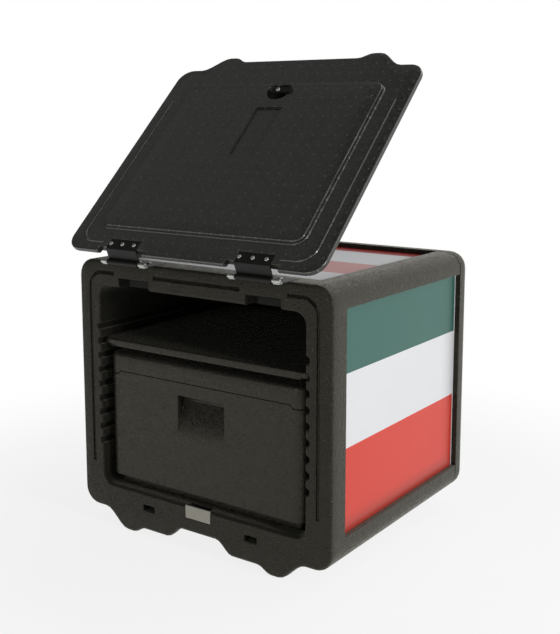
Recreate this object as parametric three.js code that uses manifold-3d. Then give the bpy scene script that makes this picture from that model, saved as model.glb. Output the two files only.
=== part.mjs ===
// Insulated delivery box of moulded foam with a swing-up door, a shelf and an inner box.
// Millimetres, +Z up, the door side faces -Y. The origin is the centre of the plinth's underside.
import * as THREE from 'three';
import Module from 'manifold-3d';

// Clearances and drawing aids
const gap = 0.3;
const cutOverrun = 1;
const cornerSteps = 3;
const roundSteps = 3;
const circleSides = 16;
const samePoint = 0.02;

// Hull of the body
const frameWidth = 525;
const frameHeight = 446;
const boxDepth = 465;
const hullRadius = 30;
const frontEdgeRadius = 5;
const rearCapDepth = 31;
const rearEdgeRadius = 14;
const seamChamfer = 1;

// Plinth under the hull
const plinthInset = 72.5;
const plinthHeight = 33;
const plinthRadius = 30;
const plinthChamfer = 4;

// Lobes under the front frame and at the far edge of the door
const frontPlateDepth = 26;
const lobeChamfer = 11;
const gripStart = 36;
const gripEnd = 70;
const gripDrop = 21;
const bumpInset = 18.5;
const bumpFallLength = 52;
const bumpPeakLength = 14;
const bumpRiseLength = 27;
const bumpDrop = 32;

// Opening and inside
const sideWall = 49.5;
const rearWall = 34;
const sillHeight = 46;
const lintelDepth = 45;
const openingRadius = 20;
const openingChamfer = 4;

// Guides for the shelf, the same on both side walls
const guidePitch = 25.8;
const topGuideDrop = 117;
const lowestGuide = 115;
const guideHeight = 13;
const guideDepth = 9;
const guideRadius = 5;
const guideStop = 8;

// Shelf, in the second guide from the top
const shelfGuide = 1;
const shelfThickness = 11;
const shelfSideGap = 2.5;
const shelfSetback = 9;
const shelfLipHeight = 14;
const shelfLipDepth = 14;
const shelfLipInset = 13;
const shelfRadius = 16;
const shelfEdgeRadius = 3;

// Seal groove in the front frame, with the bead on the door that enters it
const sealInset = 25.5;
const sealDrop = 21;
const sealRise = 36;
const sealRadius = 28;
const sealHingeGap = 11;
const sealWidth = 6;
const sealDepth = 2.8;
const beadWidth = 4;
const beadHeight = 2.2;
const beadEndGap = 2;

// Print panels in the recesses of both sides and the top
const panelThickness = 2;
const panelLip = 6;
const recessDepth = 8.7;
const windowRadius = 3;
const sideWindowFront = 41;
const windowBottom = 47;
const windowTopDrop = 39;
const topWindowFront = 44;
const topWindowSide = 48.5;

// Hinges
const hingeInset = 127.5;
const axisForward = 22.5;
const axisRise = 3.5;
const knuckleRadius = 5;
const pinRadius = 2.4;
const pinHeadRadius = 3.2;
const pinHeadLength = 1.5;
const leafThickness = 2;
const leafWidth = 68;
const leafReach = 27;
const leafSink = 1.2;
const leafFold = 8.4;
const earWidth = 12;
const earGap = 1.5;
const earRadius = 3.6;
const bracketStart = 3;
const bracketDepth = 26;
const clampWidth = 43;
const clampHeight = 12;
const clampDepth = 25;
const clampStart = 1;
const clampEdgeRadius = 0.4;
const pocketDrop = 28;
const pocketDepth = 27;
const clampScrewSpacing = 22;
const clampScrewRadius = 1.6;
const clampHeadRadius = 3.8;
const clampHeadHeight = 1.6;
const rivetSpacing = 25.8;
const rivetSet = 18;
const rivetShift = 3.5;
const rivetRadius = 2.4;
const rivetHeadRadius = 3.6;
const rivetHeadHeight = 1.5;
const rivetLength = 7;

// Door
const doorLean = 44;
const doorSideGap = 2;
const doorFootGap = 0.15;
const doorFaceOffset = 21.5;
const doorEdgeDrop = 5.35;
const doorRadius = 28;
const doorPlateau = 20.5;
const doorThickness = 30;
const doorRimDepth = 7.5;
const doorRimRound = 2;
const doorRimChamfer = 4;
const domeFootInset = 12;
const domeTopInset = 30;
const plugSideGap = 3;
const plugTopGap = 3.85;
const plugFootGap = 2.15;
const plugRadius = 22;
const plugHeight = 5;
const plugStepHeight = 2.6;
const plugStepInset = 5;
const plugEdgeRound = 1.8;
const notchFoldGap = 1;
const labelWidth = 56;
const labelLength = 114;
const labelLatchGap = 40;
const labelDepth = 4;
const labelRadius = 2;
const dimpleRadius = 3.5;
const dimpleDepth = 1.4;
const farDimpleSide = 14;
const farDimpleInset = 35;
const nearDimpleSide = 45;
const nearDimpleInset = 19;

// Latch
const latchRise = 20.15;
const latchHoleLength = 50;
const latchHoleBreadth = 42;
const latchHoleDepth = 13;
const bushRadius = 9;
const bushFlangeRadius = 14;
const bushFlangeHeight = 2.5;
const spindleRadius = 6;
const spindleNeckRadius = 3.2;
const camLength = 28;
const camWidth = 12;
const camThickness = 2.6;
const camScrewRadius = 4;
const camScrewHeight = 1.4;
const knobRadius = 17;
const knobThickness = 5;
const knobChamfer = 1;
const knobGripLength = 44;
const knobGripWidth = 10;
const knobGripHeight = 13;

// Keeper in the sill
const keeperWidth = 53;
const keeperHeight = 22;
const keeperThickness = 2.5;
const keeperBarWidth = 40;
const keeperBarHeight = 8;
const keeperBarThickness = 1.4;
const keeperPocketWidth = 45;
const keeperPocketDepth = 11;
const keeperPocketDrop = 16;

// Strap slots in the lobes
const slotBumpGap = 11.5;
const slotWidth = 26;
const slotHeight = 11;
const slotRise = 13.5;
const slotRadius = 2.2;
const slotDepth = 15;
const tongueWidth = 8;
const tongueHeight = 4;
const tongueDepth = 9;

// Inner box and its lid
const tubSideGap = 6;
const tubFront = 10.5;
const tubRearGap = 10.5;
const lidClearance = 10.7;
const tubRadius = 20;
const tubWall = 26;
const tubInnerRadius = 14;
const tubFloor = 26;
const tubBaseHeight = 16;
const tubBaseInset = 13;
const lidHeight = 31;
const lidEdgeRadius = 6;
const lidPlugDepth = 6;
const lidPlugGap = 1;
const lidEarWidth = 28;
const lidEarDrop = 6;
const scoopWidth = 98;
const scoopDrop = 23;
const scoopHeight = 61;
const scoopDepth = 19;
const scoopRadius = 10;

// Rear cap fixings
const capScrewInset = 26;
const capScrewRadius = 2.5;
const capScrewLength = 48;
const capHeadRadius = 6.5;
const capHeadHeight = 4;
const capHeadSink = 6;
const capHeadGap = 1;
const socketRadius = 2.6;
const socketDepth = 2.2;

// Lines that several pieces share
const halfWidth = frameWidth / 2;
const halfCavity = halfWidth - sideWall;
const halfDoor = halfWidth - doorSideGap;
const halfPlug = halfCavity - plugSideGap;
const halfTub = halfCavity - tubSideGap;
const lintelLine = frameHeight - lintelDepth;
const seamLine = boxDepth - rearCapDepth;
const cavityDepth = seamLine - rearWall;
const bumpEnd = halfWidth - hullRadius - bumpInset;
const bumpFall = bumpEnd - bumpFallLength;
const bumpTop = bumpFall - bumpPeakLength;
const bumpStart = bumpTop - bumpRiseLength;
const slotOffset = bumpStart - slotBumpGap;
const hingeOffset = halfWidth - hingeInset;
const sealLine = halfWidth - sealInset;
const sealTop = frameHeight - sealDrop;
const sealFoot = sillHeight + sealRise;
const axisHeight = frameHeight + axisRise;
const doorTop = axisHeight - doorEdgeDrop;
const doorLength = doorTop - doorFootGap;
const plugNear = doorTop - lintelLine + plugTopGap;
const plugFar = doorTop - sillHeight - plugFootGap;
const latchSet = doorTop - sillHeight - latchRise;
const labelFar = latchSet - labelLatchGap;
const labelNear = labelFar - labelLength;
const bracketTop = axisHeight - knuckleRadius + leafThickness;
const pocketTop = frameHeight - pocketDrop;
const leafHalf = leafWidth / 2;
const sealCornerEnd = hingeOffset + leafHalf + sealHingeGap;
const sealMiddleEnd = hingeOffset - leafHalf - sealHingeGap;
const earInner = leafHalf + earGap;
const earOuter = earInner + earWidth;
const guideOuter = halfCavity + guideDepth;
const guideCentre = (index) => frameHeight - topGuideDrop - index * guidePitch;
const guideCount = 1 + Math.floor((guideCentre(0) - lowestGuide) / guidePitch);
const shelfLow = guideCentre(shelfGuide) - guideHeight / 2 + gap;
const shelfLipLow = shelfLow + shelfThickness - shelfLipHeight;
const tubTop = shelfLipLow - lidClearance - lidHeight - gap;
const tubBack = cavityDepth - tubRearGap;

// Materials
const material = (name, color, roughness, metalness = 0) =>
  new THREE.MeshStandardMaterial({ name, color, roughness, metalness });
const bodyFoam = material('body_foam', 0x4a4842, 0.75);
const innerFoam = material('inner_foam', 0x3b3a36, 0.7);
const doorFoam = material('door_foam', 0x3d3d3b, 0.65);
const steel = material('zinc_steel', 0xb9bab8, 0.35, 1);
const blackSteel = material('black_steel', 0x1b1b1b, 0.45, 0.8);
const palePlate = material('pale_plate', 0xc3c1b2, 0.5, 0.3);
const blackPlastic = material('black_plastic', 0x141414, 0.45);
const printedSheet = material('printed_sheet', 0xe8e8f0, 0.25);

// Solid modelling: closed surfaces are stacked from outlines, then joined or cut
const wasm = await Module();
wasm.setup();

// Ways to lay an outline's two directions and its height into the part
const front = (x, z, y) => [x, y, z];
const side = (y, z, x) => [x, y, z];
const top = (x, y, z) => [x, y, z];

// Signed volume of a closed surface
function signedVolume(positions, triangles) {
  const corner = (i) => new THREE.Vector3(...positions.slice(3 * i, 3 * i + 3));
  let sum = 0;
  for (let i = 0; i < triangles.length; i += 3) {
    const [a, b, c] = [corner(triangles[i]), corner(triangles[i + 1]), corner(triangles[i + 2])];
    sum += a.dot(b.cross(c));
  }
  return sum;
}

// A solid through outlines that all have the same number of points
function stack(levels, place) {
  const count = levels[0].points.length;
  const positions = levels.flatMap(({ at, points }) => points.flatMap((p) => place(p.x, p.y, at)));
  const triangles = [];
  for (let start = count; start < levels.length * count; start += count) {
    for (let i = 0; i < count; i += 1) {
      const next = (i + 1) % count;
      const below = start - count;
      triangles.push(below + i, below + next, start + next);
      triangles.push(below + i, start + next, start + i);
    }
  }
  const last = (levels.length - 1) * count;
  const capOf = (points) => THREE.ShapeUtils.triangulateShape(points, []);
  capOf(levels[0].points).forEach(([a, b, c]) => triangles.push(c, b, a));
  const lastCap = capOf(levels[levels.length - 1].points);
  lastCap.forEach(([a, b, c]) => triangles.push(last + a, last + b, last + c));
  if (signedVolume(positions, triangles) < 0) {
    triangles.reverse();
  }
  const mesh = new wasm.Mesh({
    numProp: 3,
    vertProperties: new Float32Array(positions),
    triVerts: new Uint32Array(triangles),
  });
  return new wasm.Manifold(mesh);
}

const join = (...solids) => solids.reduce((all, one) => all.add(one));
const cut = (solid, ...tools) => tools.reduce((rest, tool) => rest.subtract(tool), solid);

// An outline moved outward by a distance, or inward where it is below zero
function grow(points, distance) {
  const count = points.length;
  const normals = points.map((p, i) => {
    const edge = points[(i + 1) % count].clone().sub(p).normalize();
    return new THREE.Vector2(edge.y, -edge.x);
  });
  return points.map((p, i) => {
    const before = normals[(i + count - 1) % count];
    const after = normals[i];
    const reach = distance / (1 + before.dot(after));
    return p.clone().add(before.clone().add(after).multiplyScalar(reach));
  });
}

// Points of a drawn path, counter-clockwise, without a doubled end. An arc gets two pieces a step.
function pointsOf(path, steps = cornerSteps) {
  const points = path.getPoints(steps);
  if (points[0].distanceTo(points[points.length - 1]) < samePoint) {
    points.pop();
  }
  return THREE.ShapeUtils.isClockWise(points) ? points.reverse() : points;
}

function roundedRectangle(left, right, low, high, radius) {
  const path = new THREE.Path();
  path.absarc(right - radius, low + radius, radius, -Math.PI / 2, 0);
  path.absarc(right - radius, high - radius, radius, 0, Math.PI / 2);
  path.absarc(left + radius, high - radius, radius, Math.PI / 2, Math.PI);
  path.absarc(left + radius, low + radius, radius, Math.PI, 1.5 * Math.PI);
  return pointsOf(path);
}

function rectangle(left, right, low, high) {
  const corners = [[left, low], [right, low], [right, high], [left, high]];
  return corners.map(([x, y]) => new THREE.Vector2(x, y));
}

function ellipse(x, y, xRadius, yRadius, sides = circleSides) {
  const path = new THREE.Path();
  path.absellipse(x, y, xRadius, yRadius, 0, 2 * Math.PI);
  return pointsOf(path, sides / 2);
}

const circle = (x, y, radius, sides = circleSides) => ellipse(x, y, radius, radius, sides);

// A straight solid between two heights
const prism = (points, from, to, place) => stack([{ at: from, points }, { at: to, points }], place);

// Levels that round an edge: the outline starts inset by the radius and reaches its full size
function roundedEdge(points, from, direction, radius) {
  return Array.from({ length: roundSteps + 1 }, (_, step) => {
    const angle = (step / roundSteps) * (Math.PI / 2);
    return {
      at: from + direction * radius * (1 - Math.cos(angle)),
      points: grow(points, -radius * (1 - Math.sin(angle))),
    };
  });
}

// A turned solid: radii at heights about one centre
function turned(profile, x, y, place, sides = circleSides) {
  return stack(profile.map(([at, radius]) => ({ at, points: circle(x, y, radius, sides) })), place);
}

// A line with a width, as a closed outline
function stroke(points, width) {
  const normals = points.map((p, i) => {
    const before = points[Math.max(i - 1, 0)];
    const after = points[Math.min(i + 1, points.length - 1)];
    const edge = after.clone().sub(before).normalize();
    return new THREE.Vector2(edge.y, -edge.x).multiplyScalar(width / 2);
  });
  const right = points.map((p, i) => p.clone().add(normals[i]));
  const left = points.map((p, i) => p.clone().sub(normals[i])).reverse();
  const outline = [...right, ...left];
  return THREE.ShapeUtils.isClockWise(outline) ? outline.reverse() : outline;
}

function addMesh(group, name, solid, look) {
  const { vertProperties, triVerts } = solid.getMesh();
  const geometry = new THREE.BufferGeometry();
  geometry.setAttribute('position', new THREE.BufferAttribute(vertProperties, 3));
  geometry.setIndex(new THREE.BufferAttribute(triVerts, 1));
  geometry.computeVertexNormals();
  const mesh = new THREE.Mesh(geometry, look);
  mesh.name = name;
  group.add(mesh);
}

// The scene: the box stands on its plinth, and the door turns about the hinge axis
const assembly = new THREE.Group();
const box = new THREE.Group();
box.position.set(0, -boxDepth / 2, plinthHeight);
assembly.add(box);
const door = new THREE.Group();
door.position.set(0, -axisForward, axisHeight);
door.rotation.x = THREE.MathUtils.degToRad(doorLean);
box.add(door);

// Lobed edge: how far it hangs at a distance from the middle
function blend(x, from, to) {
  const share = THREE.MathUtils.clamp((x - from) / (to - from), 0, 1);
  return (1 - Math.cos(share * Math.PI)) / 2;
}
function bumpAt(x, base) {
  return base + (bumpDrop - base) * blend(x, bumpStart, bumpTop) - bumpDrop * blend(x, bumpFall, bumpEnd);
}
const frameLobe = (x) => bumpAt(x, gripDrop) - gripDrop * (1 - blend(x, gripStart, gripEnd));
const doorLobe = (x) => bumpAt(x, doorPlateau);

// The places along the lobes where the outline has a point
function lobePlaces(spans) {
  const places = spans.flatMap(([from, to, steps]) =>
    Array.from({ length: steps + 1 }, (_, i) => from + ((to - from) * i) / steps));
  const mirrored = places.map((x) => -x).reverse();
  return [...mirrored, ...places];
}
const bumpSpans = [[bumpStart, bumpTop, 4], [bumpFall, bumpEnd, 6]];
const frameLobePlaces = lobePlaces([[gripStart, gripEnd, 5], ...bumpSpans]);
const doorLobePlaces = lobePlaces(bumpSpans);

// Front frame outline, with the lobes along its lower edge
function frameOutline() {
  const path = new THREE.Path();
  path.absarc(-halfWidth + hullRadius, hullRadius, hullRadius, Math.PI, 1.5 * Math.PI);
  frameLobePlaces.forEach((x) => path.lineTo(x, -frameLobe(Math.abs(x))));
  path.absarc(halfWidth - hullRadius, hullRadius, hullRadius, -Math.PI / 2, 0);
  path.absarc(halfWidth - hullRadius, frameHeight - hullRadius, hullRadius, 0, Math.PI / 2);
  path.absarc(-halfWidth + hullRadius, frameHeight - hullRadius, hullRadius, Math.PI / 2, Math.PI);
  return pointsOf(path);
}

// Seal line, seen from the front: up the side, round the corner and along the top
function sealPath(sign, foot, end) {
  const path = new THREE.Path();
  path.moveTo(sealLine, foot);
  path.lineTo(sealLine, sealTop - sealRadius);
  path.absarc(sealLine - sealRadius, sealTop - sealRadius, sealRadius, 0, Math.PI / 2);
  path.lineTo(end, sealTop);
  const points = path.getPoints(cornerSteps).filter((p, i, all) => i === 0 || p.distanceTo(all[i - 1]) > gap);
  return points.map((p) => new THREE.Vector2(sign * p.x, p.y));
}

// Sheet pocket: the window that shows the sheet, and the slot that holds its edges
function sheetPocket(window, outside, inward, place) {
  const inner = outside + inward * recessDepth;
  const slotFloor = inner + inward * panelThickness + inward * 2 * gap;
  const shown = roundedRectangle(...window, windowRadius);
  const [from, , low, high] = window;
  const held = rectangle(from - panelLip, seamLine + cutOverrun, low - panelLip, high + panelLip);
  return join(
    prism(shown, outside - inward * cutOverrun, inner + inward * gap, place),
    prism(held, inner, slotFloor, place),
  );
}
const sideWindow = [sideWindowFront, seamLine + hullRadius, windowBottom, frameHeight - windowTopDrop];
const halfTopWindow = halfWidth - topWindowSide;
const topWindow = [topWindowFront, seamLine + hullRadius, -halfTopWindow, halfTopWindow];
const topSheet = (y, x, z) => [x, y, z];

// The sheet itself, in its slot
function sheet(window, outside, inward, place) {
  const inner = outside + inward * (recessDepth + gap);
  const [from, , low, high] = window;
  const edge = panelLip - gap;
  const outline = rectangle(from - edge, seamLine - gap, low - edge, high + edge);
  return prism(outline, inner, inner + inward * panelThickness, place);
}

function buildBody() {
  const lobed = frameOutline();
  const hull = roundedRectangle(-halfWidth, halfWidth, 0, frameHeight, hullRadius);
  const plateFull = frontPlateDepth / 2;
  const frontPlate = stack([
    ...roundedEdge(lobed, 0, 1, frontEdgeRadius),
    { at: plateFull, points: lobed },
    { at: frontPlateDepth, points: grow(lobed, -lobeChamfer) },
  ], front);
  const shell = stack([
    { at: plateFull - cutOverrun, points: hull },
    { at: seamLine - seamChamfer, points: hull },
    { at: seamLine, points: grow(hull, -seamChamfer) },
  ], front);
  const footprint = roundedRectangle(
    plinthInset - halfWidth, halfWidth - plinthInset, plinthInset, boxDepth - plinthInset, plinthRadius,
  );
  const plinth = stack([
    { at: -plinthHeight, points: grow(footprint, -plinthChamfer) },
    { at: plinthChamfer - plinthHeight, points: footprint },
    { at: cutOverrun, points: footprint },
  ], top);
  const opening = roundedRectangle(-halfCavity, halfCavity, sillHeight, lintelLine, openingRadius);
  const cavity = stack([
    { at: -cutOverrun, points: grow(opening, openingChamfer + cutOverrun) },
    { at: openingChamfer, points: opening },
    { at: cavityDepth - openingChamfer, points: opening },
    { at: cavityDepth, points: grow(opening, -openingChamfer) },
  ], front);
  const cuts = [cavity];

  for (let index = 0; index < guideCount; index += 1) {
    const middle = guideCentre(index);
    const groove = roundedRectangle(
      -guideOuter, guideOuter, middle - guideHeight / 2, middle + guideHeight / 2, guideRadius,
    );
    cuts.push(prism(groove, -cutOverrun, cavityDepth - guideStop, front));
  }

  const sealPaths = [
    sealPath(1, sealFoot, sealCornerEnd),
    sealPath(-1, sealFoot, sealCornerEnd),
    [new THREE.Vector2(-sealMiddleEnd, sealTop), new THREE.Vector2(sealMiddleEnd, sealTop)],
  ];
  sealPaths.forEach((path) => {
    cuts.push(stack([
      { at: -cutOverrun, points: stroke(path, sealWidth) },
      { at: sealDepth / 2, points: stroke(path, sealWidth) },
      { at: sealDepth, points: stroke(path, sealWidth / 2) },
    ], front));
  });

  [-1, 1].forEach((sign) => {
    const middle = sign * hingeOffset;
    const bedHalf = earOuter + gap;
    const floor = bracketTop - leafThickness - gap;
    const bed = rectangle(middle - bedHalf, middle + bedHalf, -cutOverrun, bracketStart + bracketDepth + gap);
    const pocket = rectangle(middle - leafHalf, middle + leafHalf, lintelLine - openingRadius, pocketTop);
    cuts.push(prism(bed, floor, frameHeight + cutOverrun, top));
    cuts.push(prism(pocket, -cutOverrun, pocketDepth, front));
    clampScrewPlaces(middle).forEach(([x, y]) => {
      cuts.push(prism(circle(x, y, clampScrewRadius + gap), pocketTop - gap, floor + gap, top));
    });

    const centre = sign * slotOffset;
    const half = slotWidth / 2;
    const slotTop = slotRise + slotHeight;
    const slot = roundedRectangle(centre - half, centre + half, slotRise, slotTop, slotRadius);
    const halfTongue = tongueWidth / 2;
    const tongue = rectangle(centre - halfTongue, centre + halfTongue, slotTop - tongueHeight, slotTop + gap);
    cuts.push(cut(
      prism(slot, -cutOverrun, slotDepth, front),
      prism(tongue, slotDepth - tongueDepth, slotDepth, front),
    ));
    cuts.push(sheetPocket(sideWindow, sign * halfWidth, -sign, side));
  });
  cuts.push(sheetPocket(topWindow, frameHeight, -1, topSheet));

  const halfKeeper = keeperWidth / 2 + gap;
  const keeperTop = sillHeight + openingChamfer;
  const keeperBed = rectangle(-halfKeeper, halfKeeper, sillHeight - keeperHeight - gap, keeperTop);
  const halfPocket = keeperPocketWidth / 2;
  const keeperPocket = rectangle(-halfPocket, halfPocket, sillHeight - keeperPocketDrop, keeperTop);
  cuts.push(prism(keeperBed, -cutOverrun, keeperThickness + gap, front));
  cuts.push(prism(keeperPocket, keeperThickness, keeperThickness + keeperPocketDepth, front));

  capScrewPlaces().forEach(([x, z]) => {
    const depth = seamLine - (capScrewLength - rearCapDepth + capHeadSink) - gap;
    cuts.push(prism(circle(x, z, capScrewRadius + gap), depth, seamLine + cutOverrun, front));
  });
  return cut(join(frontPlate, shell, plinth), ...cuts);
}

// Where the clamp screws go down through the lintel
function clampScrewPlaces(middle) {
  const y = bracketStart + bracketDepth / 2;
  return [0, clampScrewSpacing].map((shift) => [middle + shift, y]);
}

function capScrewPlaces() {
  const x = halfWidth - capScrewInset;
  return [-1, 1].flatMap((sign) => [[sign * x, capScrewInset], [sign * x, frameHeight - capScrewInset]]);
}

function buildRearCap() {
  const hull = roundedRectangle(-halfWidth, halfWidth, 0, frameHeight, hullRadius);
  const start = seamLine + gap;
  const plain = stack([
    { at: start, points: grow(hull, -seamChamfer) },
    { at: start + seamChamfer, points: hull },
    ...roundedEdge(hull, boxDepth, -1, rearEdgeRadius).reverse(),
  ], front);
  const holes = capScrewPlaces().flatMap(([x, z]) => [
    prism(circle(x, z, capScrewRadius + gap), start - cutOverrun, boxDepth + cutOverrun, front),
    prism(circle(x, z, capHeadRadius + capHeadGap), boxDepth - capHeadSink, boxDepth + cutOverrun, front),
  ]);
  return cut(plain, ...holes);
}

// A screw with a socket in its head: the head's underside lies at the seat
function screw(x, y, seat, direction, radius, headRadius, headHeight, length, place) {
  const head = seat + direction * headHeight;
  return turned([
    [seat - direction * length, radius],
    [seat, radius],
    [seat, headRadius],
    [seat + direction * headHeight / 2, headRadius],
    [head, (headRadius + socketRadius) / 2],
    [head, Math.min(socketRadius, headRadius / 2)],
    [head - direction * Math.min(socketDepth, headHeight / 2), Math.min(socketRadius, headRadius / 2)],
  ], x, y, place);
}

function buildShelf() {
  const half = guideOuter - shelfSideGap;
  const back = cavityDepth - guideStop - gap;
  const plan = roundedRectangle(-half, half, shelfSetback, back, shelfRadius);
  const plate = stack([
    ...roundedEdge(plan, shelfLow, 1, shelfEdgeRadius),
    ...roundedEdge(plan, shelfLow + shelfThickness, -1, shelfEdgeRadius).reverse(),
  ], top);
  const lipBack = shelfSetback + shelfLipDepth;
  const shelfTop = shelfLow + shelfThickness;
  const lip = roundedRectangle(shelfSetback, lipBack, shelfLipLow, shelfTop, shelfEdgeRadius);
  const halfLip = halfCavity - shelfLipInset;
  return join(plate, prism(lip, -halfLip, halfLip, side));
}

// The inside of the tub's wall, seen from above and inset by a clearance
function tubInside(inset) {
  const wall = tubWall + inset;
  const radius = tubInnerRadius - inset;
  return roundedRectangle(-halfTub + wall, halfTub - wall, tubFront + wall, tubBack - wall, radius);
}

function buildTub() {
  const plan = roundedRectangle(-halfTub, halfTub, tubFront, tubBack, tubRadius);
  const low = sillHeight + gap;
  const outer = stack([
    { at: low, points: grow(plan, -tubBaseInset) },
    { at: low + tubBaseHeight - tubBaseInset / 4, points: grow(plan, -tubBaseInset) },
    { at: low + tubBaseHeight, points: plan },
    { at: tubTop, points: plan },
  ], top);
  const hollow = prism(tubInside(0), low + tubFloor, tubTop + cutOverrun, top);
  const step = lidEarDrop;
  const earStart = halfTub - lidEarWidth;
  const ears = [-1, 1].map((sign) => {
    const edge = [
      new THREE.Vector2(sign * earStart, tubTop + cutOverrun),
      new THREE.Vector2(sign * earStart, tubTop),
      new THREE.Vector2(sign * (earStart + step), tubTop - step),
      new THREE.Vector2(sign * (halfTub + cutOverrun), tubTop - step),
      new THREE.Vector2(sign * (halfTub + cutOverrun), tubTop + cutOverrun),
    ];
    const outline = THREE.ShapeUtils.isClockWise(edge) ? edge.reverse() : edge;
    return prism(outline, tubFront - cutOverrun, tubFront + tubWall / 2, front);
  });
  const scoopTop = tubTop - scoopDrop;
  const wedge = [
    new THREE.Vector2(tubFront - cutOverrun, scoopTop - scoopHeight),
    new THREE.Vector2(tubFront, scoopTop - scoopHeight),
    new THREE.Vector2(tubFront + scoopDepth, scoopTop - scoopRadius),
    new THREE.Vector2(tubFront + scoopDepth - scoopRadius / 3, scoopTop - scoopRadius / 3),
    new THREE.Vector2(tubFront + scoopDepth - scoopRadius, scoopTop),
    new THREE.Vector2(tubFront - cutOverrun, scoopTop),
  ];
  const scoop = prism(wedge, -scoopWidth / 2, scoopWidth / 2, side);
  return cut(outer, hollow, ...ears, scoop);
}

function buildLid() {
  const plan = roundedRectangle(-halfTub, halfTub, tubFront, tubBack, tubRadius);
  const low = tubTop + gap;
  const plate = stack([
    { at: low, points: plan },
    ...roundedEdge(plan, low + lidHeight, -1, lidEdgeRadius).reverse(),
  ], top);
  const plug = stack([
    { at: low - lidPlugDepth, points: tubInside(2 * lidPlugGap) },
    { at: low + cutOverrun, points: tubInside(lidPlugGap) },
  ], top);
  const earBack = tubFront + tubWall / 2 - gap;
  const earStart = halfTub - lidEarWidth + 2 * gap;
  const ears = [-1, 1].map((sign) => {
    const edge = [
      new THREE.Vector2(sign * earStart, low + cutOverrun),
      new THREE.Vector2(sign * earStart, low),
      new THREE.Vector2(sign * (earStart + lidEarDrop), low - lidEarDrop + gap),
      new THREE.Vector2(sign * halfTub, low - lidEarDrop + gap),
      new THREE.Vector2(sign * halfTub, low + cutOverrun),
    ];
    const outline = THREE.ShapeUtils.isClockWise(edge) ? edge.reverse() : edge;
    const blank = prism(outline, tubFront, earBack, front);
    return blank.intersect(prism(plan, low - lidEarDrop, low + 2 * cutOverrun, top));
  });
  return join(plate, plug, ...ears);
}

// The door is drawn along its face: first direction X, second away from the hinge axis,
// height towards the inside, all from the hinge axis
const along = (distance) => doorEdgeDrop + distance;
const off = (height) => doorFaceOffset + height;
const doorSide = (v, n, x) => [x, v, n];

function doorOutline() {
  const path = new THREE.Path();
  path.absarc(-halfDoor + doorRadius, along(doorRadius), doorRadius, Math.PI, 1.5 * Math.PI);
  path.absarc(halfDoor - doorRadius, along(doorRadius), doorRadius, -Math.PI / 2, 0);
  path.absarc(halfDoor - doorRadius, along(doorLength - doorRadius), doorRadius, 0, Math.PI / 2);
  const places = [...doorLobePlaces].reverse();
  places.forEach((x) => path.lineTo(x, along(doorLength) + doorLobe(Math.abs(x))));
  path.absarc(-halfDoor + doorRadius, along(doorLength - doorRadius), doorRadius, Math.PI / 2, Math.PI);
  return pointsOf(path);
}

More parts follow.
